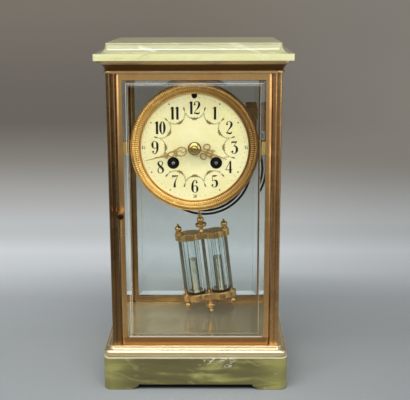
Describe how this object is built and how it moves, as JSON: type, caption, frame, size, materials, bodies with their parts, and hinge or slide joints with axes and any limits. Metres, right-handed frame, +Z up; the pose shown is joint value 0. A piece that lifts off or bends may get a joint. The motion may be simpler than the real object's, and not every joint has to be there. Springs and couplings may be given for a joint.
{
  "type": "four-glass mantel clock",
  "caption": "Mantel clock with an onyx plinth and top, a glazed brass case with front and back doors, an enamel dial, a striking movement with a gong and a mercury-style pendulum.",
  "frame": {"origin": "middle of the underside of the plinth's feet", "axes": "+Z up, the dial and front door face -Y, +X to the right seen from the front"},
  "size_m": [0.15, 0.127, 0.276],
  "materials": {
    "green_onyx": "polished",
    "case_brass": "aged, polished",
    "movement_brass": "satin",
    "gilt_brass": "gilded",
    "clear_glass": "polished",
    "cream_enamel": "glossy",
    "bright_column": "mirror bright",
    "polished_steel": "polished",
    "blued_steel": "blued",
    "dark_iron": "painted"
  },
  "bodies": {
    "case": {"onyx_plinth": "green_onyx", "base_moulding": "case_brass", "floor_plate": "case_brass", "post_front_left": "case_brass", "post_front_right": "case_brass", "post_back_left": "case_brass", "post_back_right": "case_brass", "cornice": "case_brass", "onyx_top": "green_onyx", "left_side_frame": "case_brass", "left_side_glass": "clear_glass", "right_side_frame": "case_brass", "right_side_glass": "clear_glass", "tie_screws": "polished_steel", "hinge_pins": "polished_steel", "movement_brackets": "case_brass", "front_plate": "movement_brass", "back_plate": "movement_brass", "plate_pillars": "movement_brass", "movement_screws": "polished_steel", "dial": "cream_enamel", "bezel": "gilt_brass", "suspension_cock": "movement_brass", "suspension_spring": "polished_steel", "gong_stand": "dark_iron", "gong_coil": "blued_steel"},
    "front_door": {"front_door_frame": "case_brass", "front_door_glass": "clear_glass"},
    "front_latch": {"front_latch": "case_brass"},
    "back_door": {"back_door_frame": "case_brass", "back_door_glass": "clear_glass"},
    "back_latch": {"back_latch": "case_brass"},
    "minute_hand": {"minute_hand": "gilt_brass", "cannon_pinion": "movement_brass", "hand_nut": "polished_steel"},
    "hour_hand": {"hour_hand": "gilt_brass", "hour_wheel": "movement_brass"},
    "minute_wheel": {"minute_wheel": "movement_brass"},
    "time_winder": {"time_winding_arbor": "polished_steel"},
    "time_barrel": {"time_barrel": "movement_brass"},
    "time_intermediate": {"time_intermediate_wheel": "movement_brass"},
    "centre_wheel": {"centre_wheel": "movement_brass"},
    "third_wheel": {"third_wheel": "movement_brass"},
    "escape_wheel": {"escape_wheel": "movement_brass"},
    "anchor": {"anchor_crutch": "polished_steel"},
    "strike_winder": {"strike_winding_arbor": "polished_steel"},
    "strike_barrel": {"strike_barrel": "movement_brass"},
    "strike_intermediate": {"strike_intermediate_wheel": "movement_brass"},
    "pin_wheel": {"pin_wheel": "movement_brass"},
    "warning_wheel": {"warning_wheel": "movement_brass"},
    "fly": {"fly": "polished_steel"},
    "hammer": {"hammer": "polished_steel"},
    "regulator": {"regulator_arbor": "polished_steel"},
    "pendulum": {"leader_rod": "polished_steel"},
    "bob": {"bob_top_plate": "gilt_brass", "bob_bottom_plate": "gilt_brass", "bob_rods": "gilt_brass", "bob_vials": "clear_glass", "bob_columns": "bright_column"},
    "rating_nut": {"rating_nut": "gilt_brass"}
  },
  "joints": [
    {"name": "front_door_hinge", "type": "hinge", "parent": "case", "child": "front_door", "pos_m": [0.0571, -0.05175, 0.1449], "axis": [0, 0, 1], "range_deg": [0, 90]},
    {"name": "front_latch_turn", "type": "hinge", "parent": "front_door", "child": "front_latch", "pos_m": [-0.0571, -0.05425, 0.1449], "axis": [0, -1, 0], "range_deg": [0, 90]},
    {"name": "back_door_hinge", "type": "hinge", "parent": "case", "child": "back_door", "pos_m": [-0.0571, 0.05175, 0.1449], "axis": [0, 0, 1], "range_deg": [0, 90]},
    {"name": "back_latch_turn", "type": "hinge", "parent": "back_door", "child": "back_latch", "pos_m": [0.0571, 0.05425, 0.1449], "axis": [0, 1, 0], "range_deg": [0, 90]},
    {"name": "minute_hand_turn", "type": "hinge", "parent": "case", "child": "minute_hand", "pos_m": [0, -0.0456, 0.195], "axis": [0, 1, 0], "continuous": true},
    {"name": "hour_hand_turn", "type": "hinge", "parent": "case", "child": "hour_hand", "pos_m": [0, -0.0438, 0.195], "axis": [0, 1, 0], "continuous": true},
    {"name": "minute_wheel_turn", "type": "hinge", "parent": "case", "child": "minute_wheel", "pos_m": [0, -0.0359, 0.207], "axis": [0, 1, 0], "continuous": true},
    {"name": "time_winding", "type": "hinge", "parent": "case", "child": "time_winder", "pos_m": [-0.0168, -0.034, 0.1828], "axis": [0, 1, 0], "continuous": true},
    {"name": "time_barrel_turn", "type": "hinge", "parent": "case", "child": "time_barrel", "pos_m": [-0.0168, -0.0295, 0.1828], "axis": [0, 1, 0], "continuous": true},
    {"name": "time_intermediate_turn", "type": "hinge", "parent": "case", "child": "time_intermediate", "pos_m": [-0.01323, -0.0104, 0.20069], "axis": [0, 1, 0], "continuous": true},
    {"name": "centre_wheel_turn", "type": "hinge", "parent": "case", "child": "centre_wheel", "pos_m": [0, -0.007, 0.195], "axis": [0, 1, 0], "continuous": true},
    {"name": "third_wheel_turn", "type": "hinge", "parent": "case", "child": "third_wheel", "pos_m": [0.00538, -0.0038, 0.20754], "axis": [0, 1, 0], "continuous": true},
    {"name": "escape_wheel_turn", "type": "hinge", "parent": "case", "child": "escape_wheel", "pos_m": [0, -0.0009, 0.218], "axis": [0, 1, 0], "continuous": true},
    {"name": "strike_winding", "type": "hinge", "parent": "case", "child": "strike_winder", "pos_m": [0.0168, -0.034, 0.1828], "axis": [0, 1, 0], "continuous": true},
    {"name": "strike_barrel_turn", "type": "hinge", "parent": "case", "child": "strike_barrel", "pos_m": [0.0168, -0.0295, 0.1828], "axis": [0, 1, 0], "continuous": true},
    {"name": "strike_intermediate_turn", "type": "hinge", "parent": "case", "child": "strike_intermediate", "pos_m": [0.02592, -0.0104, 0.1986], "axis": [0, 1, 0], "continuous": true},
    {"name": "pin_wheel_turn", "type": "hinge", "parent": "case", "child": "pin_wheel", "pos_m": [0.02415, -0.007, 0.20864], "axis": [0, 1, 0], "continuous": true},
    {"name": "warning_wheel_turn", "type": "hinge", "parent": "case", "child": "warning_wheel", "pos_m": [0.02094, -0.0009, 0.21746], "axis": [0, 1, 0], "continuous": true},
    {"name": "fly_turn", "type": "hinge", "parent": "case", "child": "fly", "pos_m": [0.0147, -0.024, 0.22369], "axis": [0, 1, 0], "continuous": true},
    {"name": "hammer_strike", "type": "hinge", "parent": "case", "child": "hammer", "pos_m": [0.036, 0.007, 0.207], "axis": [0, -1, 0], "range_deg": [-14, 4]},
    {"name": "regulator_turn", "type": "hinge", "parent": "case", "child": "regulator", "pos_m": [0, -0.034, 0.2355], "axis": [0, 1, 0], "range_deg": [-180, 180]},
    {"name": "pendulum_swing", "type": "hinge", "parent": "case", "child": "pendulum", "pos_m": [0, 0.013, 0.228], "axis": [0, -1, 0], "range_deg": [-5.3, 2.7]},
    {"name": "anchor_rock", "type": "hinge", "parent": "case", "child": "anchor", "pos_m": [0, 0, 0.228], "axis": [0, -1, 0], "range_deg": [-5.3, 2.7]},
    {"name": "bob_swing", "type": "hinge", "parent": "pendulum", "child": "bob", "pos_m": [0.00217, 0.013, 0.1325], "axis": [0, -1, 0], "range_deg": [-13.2, 1.4]},
    {"name": "rating_nut_turn", "type": "hinge", "parent": "bob", "child": "rating_nut", "pos_m": [0.01178, 0.013, 0.04945], "axis": [-0.1149, 0, 0.9934], "range_deg": [-180, 180]}
  ],
  "couplings": [
    {"joint": "minute_wheel_turn", "follows": "minute_hand_turn", "ratio": -0.33333},
    {"joint": "hour_hand_turn", "follows": "minute_hand_turn", "ratio": 0.083333},
    {"joint": "centre_wheel_turn", "follows": "third_wheel_turn", "ratio": -0.083333},
    {"joint": "time_intermediate_turn", "follows": "third_wheel_turn", "ratio": 0.011905},
    {"joint": "time_barrel_turn", "follows": "third_wheel_turn", "ratio": -0.0017007},
    {"joint": "escape_wheel_turn", "follows": "third_wheel_turn", "ratio": -11},
    {"joint": "pin_wheel_turn", "follows": "warning_wheel_turn", "ratio": -0.11667},
    {"joint": "strike_intermediate_turn", "follows": "warning_wheel_turn", "ratio": 0.015556},
    {"joint": "strike_barrel_turn", "follows": "warning_wheel_turn", "ratio": -0.0022222},
    {"joint": "fly_turn", "follows": "warning_wheel_turn", "ratio": -8},
    {"joint": "anchor_rock", "follows": "pendulum_swing", "ratio": 1}
  ]
}
